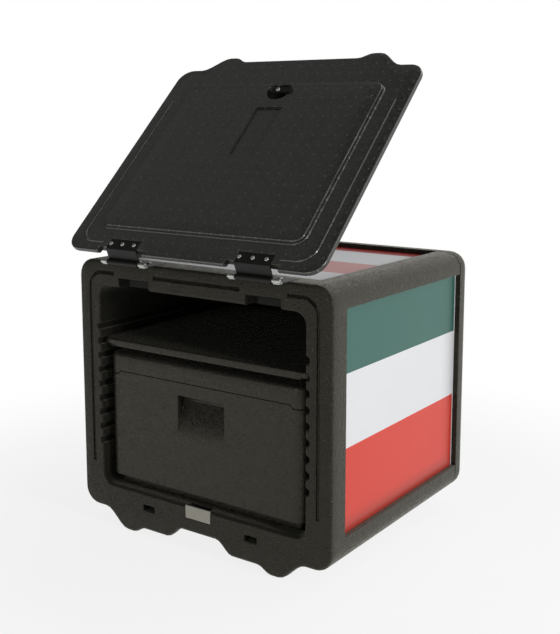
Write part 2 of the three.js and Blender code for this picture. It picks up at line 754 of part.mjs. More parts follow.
function buildDoor() {
  const outline = doorOutline();
  const rim = stack([
    ...roundedEdge(outline, off(0), -1, doorRimRound),
    { at: off(-doorRimDepth), points: outline },
    { at: off(-doorRimDepth - doorRimChamfer), points: grow(outline, -doorRimChamfer) },
  ], top);
  const domeSteps = 5;
  const dome = stack(Array.from({ length: domeSteps + 1 }, (_, step) => {
    const angle = (step / domeSteps) * (Math.PI / 2);
    const inset = domeFootInset + (domeTopInset - domeFootInset) * (1 - Math.cos(angle));
    const half = halfDoor - inset;
    return {
      at: off(-doorRimDepth - (doorThickness - doorRimDepth) * Math.sin(angle)),
      points: roundedRectangle(-half, half, along(inset), along(doorLength - inset), doorRadius),
    };
  }), top);
  const plugOutline = (inset) => {
    const half = halfPlug - inset;
    return roundedRectangle(-half, half, along(plugNear + inset), along(plugFar), plugRadius - inset);
  };
  const step = (inset, height) => stack([
    ...roundedEdge(plugOutline(inset), off(height), -1, plugEdgeRound),
    { at: off(-cutOverrun), points: plugOutline(inset) },
  ], top);
  const beads = [-1, 1].map((sign) => {
    const toDoor = (p) => new THREE.Vector2(p.x, axisHeight - p.y);
    const path = sealPath(sign, sealFoot + beadEndGap, sealCornerEnd + beadEndGap).map(toDoor);
    const lastAngle = (4 / 9) * Math.PI;
    return stack([
      { at: off(-cutOverrun), points: stroke(path, beadWidth) },
      ...Array.from({ length: roundSteps + 1 }, (_, step) => {
        const angle = (step / roundSteps) * lastAngle;
        return { at: off(beadHeight * Math.sin(angle)), points: stroke(path, beadWidth * Math.cos(angle)) };
      }),
    ], top);
  });

  const cuts = [];
  [-1, 1].forEach((sign) => {
    const middle = sign * hingeOffset;
    const notchHalf = earOuter + pinHeadLength + earGap;
    const ends = [middle - notchHalf, middle + notchHalf];
    const notch = rectangle(...ends, along(-cutOverrun), along(leafFold + notchFoldGap));
    cuts.push(prism(notch, off(-doorThickness - cutOverrun), off(cutOverrun), top));
    const bedHalf = leafHalf + gap;
    const bed = rectangle(middle - bedHalf, middle + bedHalf, along(-cutOverrun), along(leafReach + gap));
    cuts.push(prism(bed, off(-leafSink - leafThickness - gap), off(cutOverrun), top));
    rivetPlaces(middle).forEach(([x, y]) => {
      const holeEnd = off(-leafSink - leafThickness - rivetLength - gap);
      cuts.push(prism(circle(x, y, rivetRadius + gap), holeEnd, off(0), top));
    });
    const dimples = [
      [halfPlug - farDimpleSide, plugFar - farDimpleInset],
      [halfPlug - nearDimpleSide, plugNear + nearDimpleInset],
    ];
    dimples.forEach(([x, v]) => {
      const dimple = circle(sign * x, along(v), dimpleRadius);
      cuts.push(prism(dimple, off(plugHeight - dimpleDepth), off(plugHeight + cutOverrun), top));
    });
  });
  const halfLabel = labelWidth / 2;
  const label = roundedRectangle(-halfLabel, halfLabel, along(labelNear), along(labelFar), labelRadius);
  cuts.push(prism(label, off(plugHeight - labelDepth), off(plugHeight + cutOverrun), top));
  const latchHole = ellipse(0, along(latchSet), latchHoleLength / 2, latchHoleBreadth / 2, 2 * circleSides);
  cuts.push(prism(latchHole, off(plugHeight - latchHoleDepth), off(plugHeight + cutOverrun), top));
  const bore = circle(0, along(latchSet), bushRadius + gap);
  cuts.push(prism(bore, off(-doorThickness - cutOverrun), off(0), top));
  return cut(join(rim, dome, step(0, plugStepHeight), step(plugStepInset, plugHeight), ...beads), ...cuts);
}

function rivetPlaces(middle) {
  return [-1, 0, 1].map((place) => [middle - rivetShift + place * rivetSpacing, along(rivetSet)]);
}

// Door leaf: a flat on the door's face, a web that slopes from its fold to the axis and a knuckle
// round the pin, which the back of the web touches
function buildLeaf(middle) {
  const from = middle - leafHalf;
  const to = middle + leafHalf;
  const face = off(-leafSink);
  const fold = new THREE.Vector2(along(leafFold), face);
  const footAngle = fold.angle() - Math.acos(knuckleRadius / fold.length());
  const foot = new THREE.Vector2(Math.cos(footAngle), Math.sin(footAngle)).multiplyScalar(knuckleRadius);
  const slope = fold.clone().sub(foot).normalize();
  const frontFoot = foot.clone().add(new THREE.Vector2(-slope.y, slope.x).multiplyScalar(leafThickness));
  const frontFold = frontFoot.clone().addScaledVector(slope, (face - frontFoot.y) / slope.y);
  const flat = rectangle(frontFold.x, along(leafReach), face - leafThickness, face);
  const web = [foot, fold, frontFold, frontFoot];
  const knuckle = turned([[from, knuckleRadius], [to, knuckleRadius]], 0, 0, doorSide);
  const boreRadius = pinRadius + gap;
  const bore = turned([[from - cutOverrun, boreRadius], [to + cutOverrun, boreRadius]], 0, 0, doorSide);
  const holes = rivetPlaces(middle).map(([x, y]) =>
    prism(circle(x, y, rivetRadius + gap), face - leafThickness - cutOverrun, face + cutOverrun, top));
  return cut(join(prism(flat, from, to, doorSide), prism(web, from, to, doorSide), knuckle), bore, ...holes);
}

// Fixed bracket: a plate on the lintel with two ears that carry the pin
function buildBracket(middle) {
  const low = bracketTop - leafThickness;
  const outline = rectangle(middle - earOuter, middle + earOuter, bracketStart, bracketStart + bracketDepth);
  const plate = prism(outline, low, bracketTop, top);
  const ears = [-1, 1].flatMap((sign) => {
    const ends = [middle + sign * earInner, middle + sign * earOuter];
    const strip = rectangle(-axisForward, bracketStart + cutOverrun, low, bracketTop);
    const knuckle = circle(-axisForward, axisHeight, earRadius);
    return [prism(strip, ...ends, side), prism(knuckle, ...ends, side)];
  });
  const reach = earOuter + cutOverrun;
  const bore = prism(circle(-axisForward, axisHeight, pinRadius + gap), middle - reach, middle + reach, side);
  const holes = clampScrewPlaces(middle).map(([x, y]) =>
    prism(circle(x, y, clampScrewRadius + gap), low - cutOverrun, bracketTop + cutOverrun, top));
  return cut(join(plate, ...ears), bore, ...holes);
}

function buildPin(middle) {
  const end = earOuter + gap;
  return turned([
    [middle - end - pinHeadLength, pinHeadRadius],
    [middle - end, pinHeadRadius],
    [middle - end, pinRadius],
    [middle + end, pinRadius],
    [middle + end, pinHeadRadius],
    [middle + end + pinHeadLength, pinHeadRadius],
  ], -axisForward, axisHeight, side);
}

function buildRivet(x, y) {
  const face = off(gap - leafSink);
  return turned([
    [face - leafThickness - rivetLength, rivetRadius],
    [face, rivetRadius],
    [face, rivetHeadRadius],
    [face + rivetHeadHeight / 2, rivetHeadRadius * Math.cos(Math.PI / 6)],
    [face + rivetHeadHeight, rivetHeadRadius / 3],
  ], x, y, top);
}

// Clamp block in the pocket under the lintel, with threads for the two screws
function buildClamp(middle) {
  const right = middle + leafHalf - gap;
  const high = pocketTop - gap;
  const block = roundedRectangle(right - clampWidth, right, high - clampHeight, high, clampEdgeRadius);
  const holes = clampScrewPlaces(middle).map(([x, y]) =>
    prism(circle(x, y, clampScrewRadius + gap), high - clampHeight / 2, high + cutOverrun, top));
  return cut(prism(block, clampStart, clampStart + clampDepth, front), ...holes);
}

// Latch pieces, at rest with the cam pointing sideways
const latchAlong = along(latchSet);
const holeFloor = off(plugHeight - latchHoleDepth);
const camLow = off(plugHeight + 2 * gap);

function buildBush() {
  const outerEnd = off(-doorThickness);
  const flangeTop = holeFloor + gap + bushFlangeHeight;
  const bush = turned([
    [outerEnd, bushRadius],
    [holeFloor + gap, bushRadius],
    [holeFloor + gap, bushFlangeRadius],
    [flangeTop, bushFlangeRadius],
  ], 0, latchAlong, top, 2 * circleSides);
  const hole = circle(0, latchAlong, spindleRadius + gap);
  const bore = prism(hole, outerEnd - cutOverrun, flangeTop + cutOverrun, top);
  return cut(bush, bore);
}

function buildKnob() {
  const back = off(-doorThickness) - gap;
  const face = back - knobThickness;
  const disc = turned([
    [face, knobRadius - knobChamfer],
    [face + knobChamfer, knobRadius],
    [back, knobRadius],
    [back, spindleRadius],
    [camLow - gap, spindleRadius],
    [camLow - gap, spindleNeckRadius],
    [camLow + camThickness, spindleNeckRadius],
  ], 0, latchAlong, top, 2 * circleSides);
  const plan = roundedRectangle(
    -knobGripLength / 2, knobGripLength / 2,
    latchAlong - knobGripWidth / 2, latchAlong + knobGripWidth / 2, knobGripWidth / 3,
  );
  const grip = stack([
    ...roundedEdge(plan, face - knobGripHeight, 1, knobGripWidth / 4),
    { at: face + knobChamfer, points: plan },
  ], top);
  return join(disc, grip);
}

function buildCam() {
  const half = camWidth / 2;
  const plan = roundedRectangle(-half, camLength, latchAlong - half, latchAlong + half, half / 2);
  const hole = circle(0, latchAlong, spindleNeckRadius + gap);
  return cut(
    prism(plan, camLow, camLow + camThickness, top),
    prism(hole, camLow - cutOverrun, camLow + camThickness + cutOverrun, top),
  );
}

function buildCamScrew() {
  const low = camLow + camThickness + gap;
  return turned([
    [low, camScrewRadius],
    [low + camScrewHeight / 2, camScrewRadius],
    [low + camScrewHeight, camScrewRadius * Math.cos(Math.PI / 4)],
    [low + camScrewHeight, camScrewRadius / 3],
    [low + camScrewHeight / 2, camScrewRadius / 3],
  ], 0, latchAlong, top);
}

// Keeper: the plate on the front of the sill and the bar behind its top edge
function buildKeeperPlate() {
  const half = keeperWidth / 2;
  const face = rectangle(-half, half, sillHeight - keeperHeight, sillHeight);
  return prism(face, 0, keeperThickness, front);
}
function buildKeeperBar() {
  const half = keeperBarWidth / 2;
  const start = keeperThickness + gap;
  const face = rectangle(-half, half, sillHeight - keeperBarHeight, sillHeight - gap);
  return prism(face, start, start + keeperBarThickness, front);
}

// Assembly
addMesh(box, 'body_shell', buildBody(), bodyFoam);
addMesh(box, 'rear_cap', buildRearCap(), bodyFoam);
capScrewPlaces().forEach(([x, z], index) => {
  const seat = boxDepth - capHeadSink + gap;
  const solid = screw(x, z, seat, 1, capScrewRadius, capHeadRadius, capHeadHeight, capScrewLength, front);
  addMesh(box, `rear_cap_screw_${index + 1}`, solid, steel);
});
addMesh(box, 'print_panel_left', sheet(sideWindow, -halfWidth, 1, side), printedSheet);
addMesh(box, 'print_panel_right', sheet(sideWindow, halfWidth, -1, side), printedSheet);
addMesh(box, 'print_panel_top', sheet(topWindow, frameHeight, -1, topSheet), printedSheet);
addMesh(box, 'keeper_plate', buildKeeperPlate(), palePlate);
addMesh(box, 'keeper_bar', buildKeeperBar(), blackSteel);
addMesh(box, 'shelf', buildShelf(), innerFoam);
addMesh(box, 'inner_box_tub', buildTub(), innerFoam);
addMesh(box, 'inner_box_lid', buildLid(), innerFoam);

addMesh(door, 'door_panel', buildDoor(), doorFoam);
addMesh(door, 'latch_bush', buildBush(), blackPlastic);
addMesh(door, 'latch_knob', buildKnob(), blackPlastic);
addMesh(door, 'latch_cam', buildCam(), blackSteel);
addMesh(door, 'latch_cam_screw', buildCamScrew(), steel);

[['left', -1], ['right', 1]].forEach(([word, sign]) => {
  const middle = sign * hingeOffset;
  addMesh(box, `hinge_${word}_bracket`, buildBracket(middle), steel);
  addMesh(box, `hinge_${word}_pin`, buildPin(middle), steel);
  addMesh(box, `hinge_${word}_clamp_block`, buildClamp(middle), blackPlastic);
  clampScrewPlaces(middle).forEach(([x, y], index) => {
    const seat = bracketTop + gap;
    const length = seat - pocketTop + clampHeight / 3;
    const solid = screw(x, y, seat, 1, clampScrewRadius, clampHeadRadius, clampHeadHeight, length, top);
    addMesh(box, `hinge_${word}_screw_${index + 1}`, solid, steel);
  });
  addMesh(door, `hinge_${word}_leaf`, buildLeaf(middle), blackSteel);
  rivetPlaces(middle).forEach(([x, y], index) => {
    addMesh(door, `hinge_${word}_rivet_${index + 1}`, buildRivet(x, y), steel);
  });
});

export default assembly;
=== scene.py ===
import math
import bmesh
import bpy
import numpy as np
from mathutils import Matrix, Vector


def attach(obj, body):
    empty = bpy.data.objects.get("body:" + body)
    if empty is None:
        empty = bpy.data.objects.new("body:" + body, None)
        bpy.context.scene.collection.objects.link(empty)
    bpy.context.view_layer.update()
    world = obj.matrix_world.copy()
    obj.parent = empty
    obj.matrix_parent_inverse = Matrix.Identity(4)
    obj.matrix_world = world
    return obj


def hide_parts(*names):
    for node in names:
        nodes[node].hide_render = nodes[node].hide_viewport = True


# Looks and finer shapes for the delivery box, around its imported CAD. Lengths are in metres.
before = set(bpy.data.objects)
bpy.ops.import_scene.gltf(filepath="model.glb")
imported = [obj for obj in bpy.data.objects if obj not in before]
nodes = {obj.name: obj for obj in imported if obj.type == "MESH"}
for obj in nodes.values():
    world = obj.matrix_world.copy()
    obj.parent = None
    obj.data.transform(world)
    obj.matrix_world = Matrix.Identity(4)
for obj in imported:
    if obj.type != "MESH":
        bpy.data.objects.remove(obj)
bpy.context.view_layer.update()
print("frame loaded:", len(nodes), "nodes")


# Shader graphs. A Wire is one socket, and sums, products and comparisons of wires add Math nodes.
class Wire:
    def __init__(self, graph, socket):
        self.graph = graph
        self.socket = socket

    def math(self, operation, other=None, clamp=False):
        return self.graph.add("ShaderNodeMath", {"operation": operation, "use_clamp": clamp}, [self, other])

    def reflected(self, operation, other):
        return self.graph.add("ShaderNodeMath", {"operation": operation}, [other, self])

    def __add__(self, other): return self.math("ADD", other)
    def __sub__(self, other): return self.math("SUBTRACT", other)
    def __mul__(self, other): return self.math("MULTIPLY", other)
    def __truediv__(self, other): return self.math("DIVIDE", other)
    def __radd__(self, other): return self.reflected("ADD", other)
    def __rsub__(self, other): return self.reflected("SUBTRACT", other)
    def __gt__(self, other): return self.math("GREATER_THAN", other)
    def __lt__(self, other): return self.math("LESS_THAN", other)

    def clamped(self):
        return self.math("ADD", 0.0, clamp=True)

    def smooth(self, low, high):  # 0 below low, 1 above high, eased between
        return self.graph.add(
            "ShaderNodeMapRange", {"interpolation_type": "SMOOTHSTEP"}, [self, low, high, 0.0, 1.0])

    def about(self, width):  # a wire from 0 to 1 becomes a factor about 1, as wide as stated
        return self * width + (1 - width / 2)


class Graph:
    def __init__(self, name, world=None):
        self.owner = world or bpy.data.materials.new(name)
        self.owner.use_nodes = True
        self.tree = self.owner.node_tree
        self.tree.nodes.clear()
        self.end = self.tree.nodes.new("ShaderNodeOutputWorld" if world else "ShaderNodeOutputMaterial")

    # One node of any type: its settings first, then the values or wires of its sockets
    def add(self, kind, settings=None, values=None, output=0):
        node = self.tree.nodes.new(kind)
        for key, value in (settings or {}).items():
            setattr(node, key, value)
        for key, value in (values.items() if isinstance(values, dict) else enumerate(values or [])):
            if isinstance(value, Wire):
                self.tree.links.new(value.socket, node.inputs[key])
            elif value is not None:
                node.inputs[key].default_value = value
        return Wire(self, node.outputs[output])

    # Sockets 6 and 7 and output 2 of this node are its colour ones
    def mix(self, factor, first, second, blend="MIX"):
        sockets = {0: factor, 6: first, 7: second}
        return self.add("ShaderNodeMix", {"data_type": "RGBA", "blend_type": blend}, sockets, 2)

    def here(self):
        return self.add("ShaderNodeTexCoord", output="Object")

    def place(self, turn=(0, 0, 0), scale=(1, 1, 1)):
        return self.add("ShaderNodeMapping", None, {"Vector": self.here(), "Rotation": turn, "Scale": scale})

    def parts(self, place, axes):  # one wire for each letter in axes
        return [self.add("ShaderNodeSeparateXYZ", None, [place], axis) for axis in axes]

    def noise(self, place, scale, detail=2.0, roughness=0.5):
        sockets = {"Vector": place, "Scale": scale, "Detail": detail, "Roughness": roughness}
        return self.add("ShaderNodeTexNoise", None, sockets)

    def cells(self, place, scale, feature="F1", output="Distance"):
        return self.add("ShaderNodeTexVoronoi", {"feature": feature}, {"Vector": place, "Scale": scale}, output)

    # Scattered round marks: their radius is a share of their spacing, and they fade over its outer half
    def marks(self, place, spacing, share):
        return 1 - self.cells(place, 1 / spacing).smooth(share / 2, share)

    def bump(self, height, distance, strength):
        return self.add("ShaderNodeBump", None, {"Height": height, "Distance": distance, "Strength": strength})

    def surface(self, **sockets):
        names = {
            "colour": "Base Color", "roughness": "Roughness", "metallic": "Metallic", "normal": "Normal",
            "coat": "Coat Weight", "coatRoughness": "Coat Roughness", "specular": "Specular IOR Level",
            "specularTint": "Specular Tint", "sheen": "Sheen Weight", "sheenRoughness": "Sheen Roughness",
            "sheenTint": "Sheen Tint"}
        values = {names[key]: value for key, value in sockets.items()}
        return self.close(self.add("ShaderNodeBsdfPrincipled", None, values))

    def close(self, shader):
        self.tree.links.new(shader.socket, self.end.inputs["Surface"])
        return self.owner


def grey(level):
    return (level, level, level, 1)


# 1 where all the comparisons hold, 0 elsewhere
def allOf(comparisons):
    result = comparisons[0]
    for comparison in comparisons[1:]:
        result = result * comparison
    return result


# Painted shade: a surface taken towards the dark colour and towards matt, each by its own share
def paintedShade(graph, look, colour, roughness, darkShare, mattShare):
    darker = graph.mix(darkShare, colour, look["darkColour"])
    return darker, roughness + mattShare * (look["darkRoughness"] - roughness)


# Rows of small round vent marks, one in the middle of each square of the pitch
def ventMarks(graph, place, vents):
    scaled = graph.add("ShaderNodeVectorMath", {"operation": "SCALE"}, {0: place, 3: 1 / vents["pitch"]})
    square = graph.add("ShaderNodeVectorMath", {"operation": "FRACTION"}, [scaled])
    across, along = [part - 0.5 for part in graph.parts(square, "XY")]
    reach = (across * across + along * along).math("SQRT")
    return 1 - reach.smooth(vents["share"] * vents["coreShare"], vents["share"])


# Moulded bead foam: beads of slightly different tones with dark seams between them, small pits, pale
# specks and broad clouds. A look may add vent marks painted lighter as a painted highlight, a glossy skin
# on one side with a field whose walls are matt and get painted shade, or painted shade inside the cavity.
def beadFoam(name, look):
    graph = Graph(name)
    place = graph.place(turn=look["turn"])
    beadScale = 1 / look["beadSize"]
    beads = graph.cells(place, beadScale)
    tone = graph.add("ShaderNodeSeparateColor", None, [graph.cells(place, beadScale, output="Color")])
    seam = 1 - graph.cells(place, beadScale, "DISTANCE_TO_EDGE").smooth(0.0, look["seamWidth"])
    cloud = graph.noise(place, look["cloudScale"], look["cloudDetail"], look["cloudRoughness"])
    pit = graph.marks(place, look["pitSpacing"], look["pitShare"])
    speck = graph.marks(place, look["speckSpacing"], look["speckShare"])
    grain = graph.noise(place, look["grainScale"])
    shade = tone.about(look["toneSpread"]) * cloud.about(look["cloudSpread"])
    darkness = (seam * look["seamDark"] + pit * look["pitDark"]).clamped()
    dark = graph.mix(darkness, look["colour"], look["darkColour"])
    shadeColour = graph.add("ShaderNodeCombineColor", None, [shade, shade, shade])
    shaded = graph.mix(1.0, dark, shadeColour, "MULTIPLY")
    colour = graph.mix((speck * look["speckLight"]).clamped(), shaded, look["speckColour"])
    roughness = look["roughness"] + (tone - 0.5) * look["roughSpread"]
    roughness = (roughness + pit * look["pitRough"] + seam * look["seamRough"]).clamped()
    height = 1 - beads * beads * look["beadDome"] - seam * look["seamDrop"] - pit * look["pitDrop"]
    height = height + tone * look["beadStep"] + grain * look["grainRise"]
    coat = 0.0
    if "vents" in look:
        vent = ventMarks(graph, place, look["vents"])
        height = height + vent * look["vents"]["height"]
        # The vent marks are also painted lighter, a painted highlight of the light their raised tops catch
        colour = graph.mix(vent * look["vents"]["light"], colour, look["speckColour"])
    if "skin" in look:
        skin, field = look["skin"], look["field"]
        across, along, above = graph.parts(place, "XYZ")
        # Painted shade on the walls of the door's label field: they are darkened, made matt and lose the coat
        walls = allOf([across.math("ABSOLUTE") < field["half"], along > field["near"], along < field["far"],
                       above > field["low"], above < field["high"]])
        colour, roughness = paintedShade(graph, look, colour, roughness, walls, walls)
        coat = (above > skin["above"]) * (1 - walls) * skin["coat"]
    if "inside" in look:
        # Painted shade inside the cavity: surfaces within the opening, from just behind the front, are darkened
        # and made matt
        inside = look["inside"]
        across, depth, above = graph.parts(graph.here(), "XYZ")
        within = allOf([across.math("ABSOLUTE") < inside["half"], above > inside["low"], above < inside["high"]])
        share = within * (depth - inside["front"]).smooth(0.0, inside["fade"])
        colour, roughness = paintedShade(graph, look, colour, roughness, share * inside["shade"], share)
    return graph.surface(
        colour=colour, roughness=roughness, specular=look["specular"], specularTint=look["specularTint"],
        sheen=look["sheen"], sheenRoughness=look["sheenRoughness"], sheenTint=look["sheenTint"],
        coat=coat, coatRoughness=look["coatRoughness"], normal=graph.bump(height, look["relief"], look["bump"]))


# How far the open door leans up from level, which its look and its screws follow
doorLean = math.radians(44)
# Scales are in marks per metre, and other bare numbers are shares
foamLook = {
    "colour": (0.0125, 0.0117, 0.0078, 1), "darkColour": (0.003, 0.003, 0.0025, 1),
    "speckColour": (0.16, 0.155, 0.12, 1), "turn": (0, 0, 0),
    "beadSize": 0.0044, "seamWidth": 0.11, "seamDark": 0.45, "toneSpread": 1.3,
    "cloudScale": 45.0, "cloudSpread": 0.7, "cloudDetail": 4.0, "cloudRoughness": 0.6,
    "pitSpacing": 0.010, "pitShare": 0.17, "pitDark": 0.85,
    "speckSpacing": 0.0095, "speckShare": 0.12, "speckLight": 0.8,
    "roughness": 0.40, "roughSpread": 0.3, "pitRough": 0.2, "seamRough": 0.1, "darkRoughness": 0.9,
    "specular": 0.26, "specularTint": (1.0, 0.95, 0.76, 1), "coatRoughness": 0.24,
    "sheen": 0.24, "sheenRoughness": 0.5, "sheenTint": (1.0, 0.97, 0.80, 1),
    "relief": 0.0006, "bump": 0.6, "beadDome": 0.8, "seamDrop": 0.6, "pitDrop": 1.6, "beadStep": 0.5,
    "grainScale": 1100.0, "grainRise": 0.3}
bodyLook = {
    **foamLook,
    "inside": {"half": 0.232, "low": 0.038, "high": 0.462, "front": -0.2322, "fade": 0.0025, "shade": 0.92}}
# The door's look is turned back by the door's lean: Y runs away from the hinge and Z out of the inner face
doorLook = {
    **foamLook, "colour": (0.0260, 0.0256, 0.0232, 1), "turn": (-doorLean, 0, 0),
    "toneSpread": 0.55, "seamDark": 0.35, "speckShare": 0.07, "sheen": 0.0, "roughness": 0.27,
    "specular": 0.60, "specularTint": (0.98, 1.0, 0.92, 1), "relief": 0.0004, "bump": 0.4,
    "skin": {"above": 0.5437, "coat": 1.0},
    "field": {"half": 0.0286, "near": 0.3805, "far": 0.4957, "low": 0.5470, "high": 0.5504},
    "vents": {"pitch": 0.022, "share": 0.095, "coreShare": 0.6, "height": 2.2, "light": 0.5}}
innerLook = {
    **foamLook, "colour": (0.0175, 0.0165, 0.0125, 1), "sheen": 0.08, "toneSpread": 0.4, "seamDark": 0.25,
    "speckLight": 0.4, "roughness": 0.34, "specular": 0.38, "relief": 0.0004, "bump": 0.4}
# The shelf's foam is darker than the tub's, a painted shade of the cavity it stands in
shelfShadeLook = {**innerLook, "colour": (0.0100, 0.0095, 0.0075, 1), "bump": 0.15}
bodyFoam = beadFoam("body_foam", bodyLook)
doorFoam = beadFoam("door_foam", doorLook)
innerFoam = beadFoam("inner_foam", innerLook)
shelfFoam = beadFoam("shelf_foam", shelfShadeLook)


# Metal or plastic with a fine grain and worn patches, painted dark behind the depth paintFrom
def metal(name, look):
    graph = Graph(name)
    place = graph.place()
    grain = graph.noise(place, look["grain"], look["grainDetail"])
    smear = graph.noise(place, look["smear"])
    colour = graph.mix(smear, look["colour"], look["wornColour"])
    roughness = (look["roughness"] + (grain - 0.5) * look["roughSpread"]).clamped()
    metallic = look["metallic"]
    if "paintFrom" in look:
        depth, = graph.parts(graph.here(), "Y")
        edge = depth + smear * look["paintFade"]
        painted = edge.smooth(look["paintFrom"], look["paintFrom"] + look["paintFade"])
        colour = graph.mix(painted, colour, look["paintColour"])
        metallic = (1 - painted) * metallic
    return graph.surface(colour=colour, roughness=roughness, metallic=metallic, specular=look["specular"],
                         normal=graph.bump(grain, look["relief"], look["bump"]))


metalLook = {"grainDetail": 3.0, "roughSpread": 0.2, "metallic": 0.0, "specular": 0.5, "bump": 0.4}
zincLook = {
    **metalLook, "colour": (0.72, 0.72, 0.69, 1), "wornColour": (0.50, 0.50, 0.48, 1), "grain": 900.0,
    "smear": 160.0, "roughness": 0.42, "roughSpread": 0.25, "metallic": 0.75, "relief": 0.0001}
bracketLook = {**zincLook, "paintFrom": -0.2475, "paintFade": 0.002, "paintColour": (0.012, 0.012, 0.011, 1)}
blackSteelLook = {
    **metalLook, "colour": (0.007, 0.007, 0.006, 1), "wornColour": (0.016, 0.015, 0.014, 1), "grain": 1200.0,
    "smear": 60.0, "roughness": 0.45, "specular": 0.25, "relief": 0.00015}
plateLook = {
    **metalLook, "colour": (0.55, 0.53, 0.44, 1), "wornColour": (0.45, 0.43, 0.36, 1), "grain": 800.0,
    "smear": 90.0, "roughness": 0.45, "metallic": 0.2, "relief": 0.00008}
plasticLook = {
    **metalLook, "colour": (0.0085, 0.0082, 0.0070, 1), "wornColour": (0.013, 0.0125, 0.0105, 1),
    "grain": 1500.0, "smear": 50.0, "roughness": 0.48, "specular": 0.12, "relief": 0.0002}
zincSteel = metal("zinc_steel", zincLook)
bracketSteel = metal("bracket_steel", bracketLook)
blackSteel = metal("black_steel", blackSteelLook)
palePaint = metal("pale_plate", plateLook)
blackPlastic = metal("black_plastic", plasticLook)


# Printed film: plain stripes between shares of its span, with painted shade towards the low edge of the span and
# the far end of the cross span, faint darker patches, a bare margin at that end and slow ripples under the print
def stripes(name, look):
    graph = Graph(name)
    here = graph.here()
    place, = graph.parts(here, look["axis"])
    across, = graph.parts(here, look["crossAxis"])
    low, high = look["span"]
    crossLow, crossHigh = look["crossSpan"]
    share = (place - low) / (high - low)
    crossShare = (across - crossLow) / (crossHigh - crossLow)
    colour = look["stripes"][0][1]
    for start, tint in look["stripes"][1:]:
        colour = graph.mix(share > start, colour, tint)
    colour = graph.mix(crossShare > look["marginShare"], colour, look["paper"])
    veil = graph.noise(graph.place(), look["veilScale"])
    # Painted shade: the film is darkened at its low edge and far end, where the rim of its recess shades it
    farEnd = crossShare.smooth(look["endFrom"], 1.0) * look["endWeight"]
    rim = 1 - share.smooth(0.0, look["rimShare"]) * (1 - farEnd)
    colour = graph.mix((rim * look["rimDark"] + veil * look["veilDark"]).clamped(), colour, look["shade"])
    grain = graph.noise(graph.place(), look["grainScale"])
    ripple = graph.noise(graph.place(scale=look["rippleStretch"]), look["rippleScale"], look["rippleDetail"])
    return graph.surface(
        colour=colour, roughness=(look["roughness"] + grain * look["grainRough"]).clamped(),
        specular=look["specular"],
        normal=graph.bump(ripple + grain * look["grainRise"], look["relief"], look["bump"]))


paperWhite = (0.75, 0.76, 0.78, 1)
leafGreen = (0.022, 0.118, 0.092, 1)
signalRed = (0.66, 0.040, 0.020, 1)
paleRed = (0.62, 0.22, 0.21, 1)
deepRed = (0.42, 0.022, 0.018, 1)
filmLook = {
    "paper": paperWhite, "shade": (0.04, 0.035, 0.03, 1), "marginShare": 0.992, "endFrom": 0.86,
    "endWeight": 0.6, "rimDark": 0.38, "veilScale": 5.0, "veilDark": 0.08, "grainScale": 1400.0,
    "grainRough": 0.08, "grainRise": 0.004, "rippleScale": 7.0, "rippleDetail": 1.0,
    "rippleStretch": (1.0, 1.0, 0.4), "roughness": 0.30, "specular": 0.4, "relief": 0.003, "bump": 0.3}
sideSheetLook = {
    **filmLook, "stripes": [(0.0, signalRed), (0.38, paperWhite), (0.71, leafGreen)], "rimShare": 0.09,
    "axis": "Z", "span": (0.080, 0.440), "crossAxis": "Y", "crossSpan": (-0.197, 0.2012)}
topSheetLook = {
    **filmLook, "stripes": [(0.0, paperWhite), (0.30, paleRed), (0.58, paperWhite), (0.90, deepRed)],
    "rimShare": 0.02, "axis": "Y", "span": (-0.1885, 0.2015), "crossAxis": "X", "crossSpan": (-0.2197, 0.2197)}
sideSheet = stripes("side_sheet", sideSheetLook)
topSheet = stripes("top_sheet", topSheetLook)
print("materials made")


# A mesh object at the origin from points and faces, with its look, its body and the node it stands for
def addPiece(name, points, faces, look, body, node, sharpAngle):
    mesh = bpy.data.meshes.new(name)
    mesh.from_pydata(points.tolist(), [], faces)
    mesh.materials.append(look)
    mesh.shade_smooth()
    mesh.set_sharp_from_angle(angle=math.radians(sharpAngle))
    piece = bpy.data.objects.new(name, mesh)
    bpy.context.scene.collection.objects.link(piece)
    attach(piece, body)
    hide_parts(node)
    return piece


# Planes about one cell apart on each axis, each at the place near its own that lies furthest from any
# corner. They keep the joined flats small, so that no long sliver meets an eased edge.
planeSearch = {"reachShare": 0.35, "tries": 71, "digits": 5}


def cellPlanes(points, cell):
    planes = []
    for axis in range(3):
        levels = np.unique(np.round(points[:, axis], planeSearch["digits"]))
        count = int((levels[-1] - levels[0]) / cell) if cell else 0
        reach = planeSearch["reachShare"]
        for place in np.linspace(levels[0], levels[-1], count + 2)[1:-1]:
            tries = place + np.linspace(-reach, reach, planeSearch["tries"]) * cell
            room = np.abs(tries[:, None] - levels[None]).min(1)
            planes.append((axis, float(tries[room.argmax()])))
    return planes


# Values of the eased pieces, with angles in degrees
easing = {"mergeScale": 1e6, "cutDistance": 1e-7, "flatAngle": 1.0, "sharpAngle": 38, "smoothAngle": 180,
          "segments": 2}
everywhere = ((-math.inf,) * 3, (math.inf,) * 3)


# The corners and triangles of a CAD mesh, with the corners that its faces share merged into one
def mergedMesh(source):
    corners = np.empty(len(source.vertices) * 3)
    source.vertices.foreach_get("co", corners)
    corners = corners.reshape(-1, 3)
    loops = np.empty(len(source.loops), np.int32)
    source.loops.foreach_get("vertex_index", loops)
    rounded = np.round(corners * easing["mergeScale"])
    _, first, merged = np.unique(rounded, axis=0, return_index=True, return_inverse=True)
    triangles = merged.reshape(-1)[loops].reshape(-1, 3)
    one, two, three = triangles.T
    whole = (one != two) & (two != three) & (one != three)
    return corners[first], triangles[whole].tolist()


